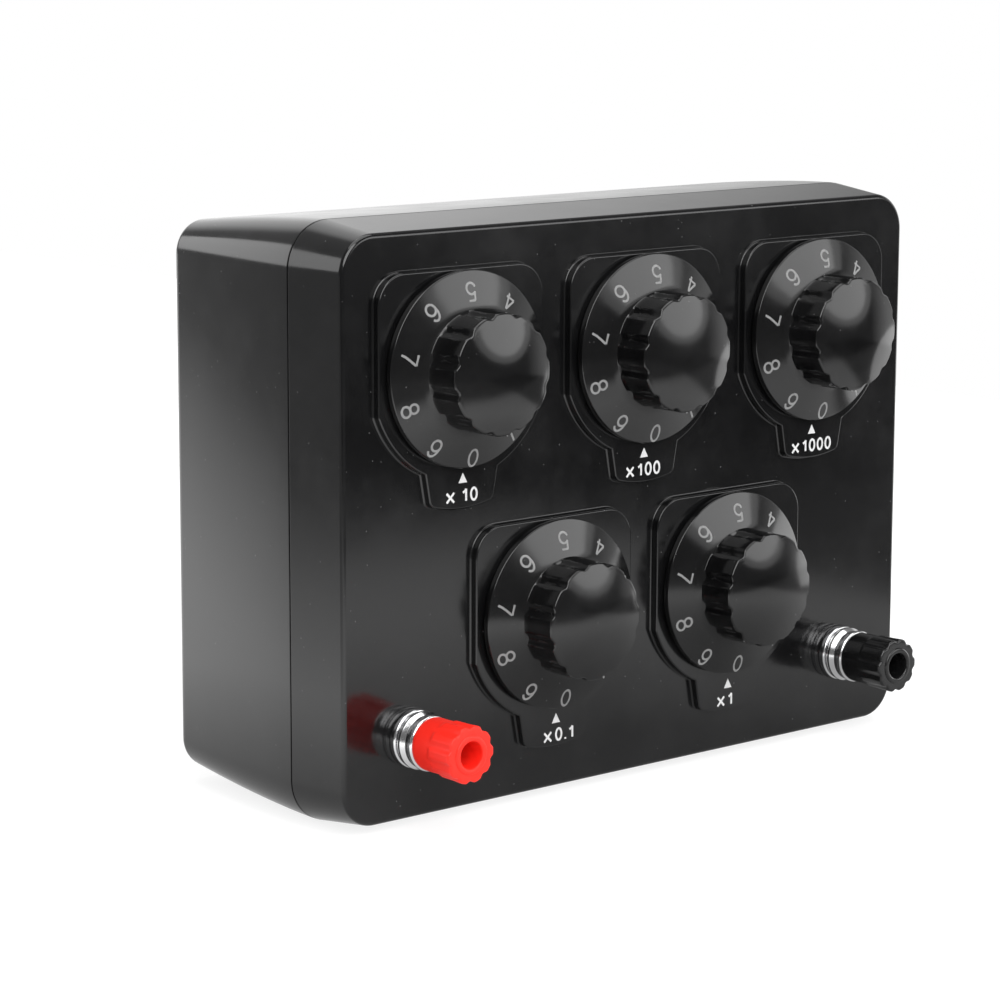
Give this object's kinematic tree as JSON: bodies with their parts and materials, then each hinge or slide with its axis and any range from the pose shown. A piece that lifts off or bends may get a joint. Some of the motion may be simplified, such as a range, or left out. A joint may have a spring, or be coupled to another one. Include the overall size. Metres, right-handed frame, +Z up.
{
  "type": "decade resistance box",
  "caption": "Black moulded bench box with numbered fluted dials that switch resistor decades in series between a red and a black binding post.",
  "frame": {"origin": "middle of the footprint, dials and posts included, at the lowest edge of the standing case", "axes": "+X to the right across the panel, +Y into the box so the panel faces -Y, +Z up"},
  "size_m": [0.165, 0.079, 0.125],
  "materials": {
    "case_plastic": "moulded, polished, near black",
    "knob_plastic": "moulded, high gloss black",
    "red_plastic": "moulded, satin red",
    "black_plastic": "moulded, satin black",
    "chrome": "turned and chrome plated",
    "nickel": "nickel plated",
    "steel": "zinc plated",
    "black_steel": "blackened",
    "brass": "turned",
    "bronze": "spring sheet",
    "phenolic": "laminated paper board",
    "resistor_coat": "lacquered",
    "wire_sleeve": "soft sleeve"
  },
  "bodies": {
    "case": {"front_cover": "case_plastic", "rear_cover": "case_plastic", "case_screws": "steel", "bushings": "brass", "lock_washers": "steel", "panel_nuts": "steel", "wafer_screws": "steel", "hookup_wires": "wire_sleeve", "terminal_studs": "nickel", "terminal_bases": "chrome", "terminal_washers": "steel", "solder_tags": "nickel", "terminal_nuts": "steel", "wafer_x10": "phenolic", "contacts_x10": "brass", "resistors_x10": "resistor_coat", "wafer_x100": "phenolic", "contacts_x100": "brass", "resistors_x100": "resistor_coat", "wafer_x1000": "phenolic", "contacts_x1000": "brass", "resistors_x1000": "resistor_coat", "wafer_x0_1": "phenolic", "contacts_x0_1": "brass", "resistors_x0_1": "resistor_coat", "wafer_x1": "phenolic", "contacts_x1": "brass", "resistors_x1": "resistor_coat"},
    "dial_x10": {"knob_x10": "knob_plastic", "grub_screw_x10": "black_steel", "spindle_x10": "brass", "wiper_x10": "bronze", "clip_x10": "steel"},
    "dial_x100": {"knob_x100": "knob_plastic", "grub_screw_x100": "black_steel", "spindle_x100": "brass", "wiper_x100": "bronze", "clip_x100": "steel"},
    "dial_x1000": {"knob_x1000": "knob_plastic", "grub_screw_x1000": "black_steel", "spindle_x1000": "brass", "wiper_x1000": "bronze", "clip_x1000": "steel"},
    "dial_x0_1": {"knob_x0_1": "knob_plastic", "grub_screw_x0_1": "black_steel", "spindle_x0_1": "brass", "wiper_x0_1": "bronze", "clip_x0_1": "steel"},
    "dial_x1": {"knob_x1": "knob_plastic", "grub_screw_x1": "black_steel", "spindle_x1": "brass", "wiper_x1": "bronze", "clip_x1": "steel"},
    "post_collar_red": {"collar_red": "chrome"},
    "post_cap_red": {"cap_red": "red_plastic"},
    "post_collar_black": {"collar_black": "chrome"},
    "post_cap_black": {"cap_black": "black_plastic"}
  },
  "joints": [
    {"name": "dial_x10_turn", "type": "hinge", "parent": "case", "child": "dial_x10", "pos_m": [-0.051, -0.0255, 0.0946], "axis": [0, 1, 0], "continuous": true},
    {"name": "dial_x100_turn", "type": "hinge", "parent": "case", "child": "dial_x100", "pos_m": [0, -0.0255, 0.0946], "axis": [0, 1, 0], "continuous": true},
    {"name": "dial_x1000_turn", "type": "hinge", "parent": "case", "child": "dial_x1000", "pos_m": [0.051, -0.0255, 0.0946], "axis": [0, 1, 0], "continuous": true},
    {"name": "dial_x0_1_turn", "type": "hinge", "parent": "case", "child": "dial_x0_1", "pos_m": [-0.0255, -0.0255, 0.0404], "axis": [0, 1, 0], "continuous": true},
    {"name": "dial_x1_turn", "type": "hinge", "parent": "case", "child": "dial_x1", "pos_m": [0.0255, -0.0255, 0.0404], "axis": [0, 1, 0], "continuous": true},
    {"name": "post_red_lift", "type": "slide", "parent": "case", "child": "post_collar_red", "axis": [0, -1, 0], "range_m": [0, 0.003]},
    {"name": "post_red_turn", "type": "hinge", "parent": "post_collar_red", "child": "post_cap_red", "pos_m": [-0.0626, -0.0305, 0.0188], "axis": [0, -1, 0], "range_deg": [0, 1080]},
    {"name": "post_black_lift", "type": "slide", "parent": "case", "child": "post_collar_black", "axis": [0, -1, 0], "range_m": [0, 0.003]},
    {"name": "post_black_turn", "type": "hinge", "parent": "post_collar_black", "child": "post_cap_black", "pos_m": [0.0626, -0.0305, 0.0188], "axis": [0, -1, 0], "range_deg": [0, 1080]}
  ],
  "couplings": [
    {"joint": "post_red_turn", "follows": "post_red_lift", "rad_per_m": 6283.1},
    {"joint": "post_black_turn", "follows": "post_black_lift", "rad_per_m": 6283.1}
  ]
}
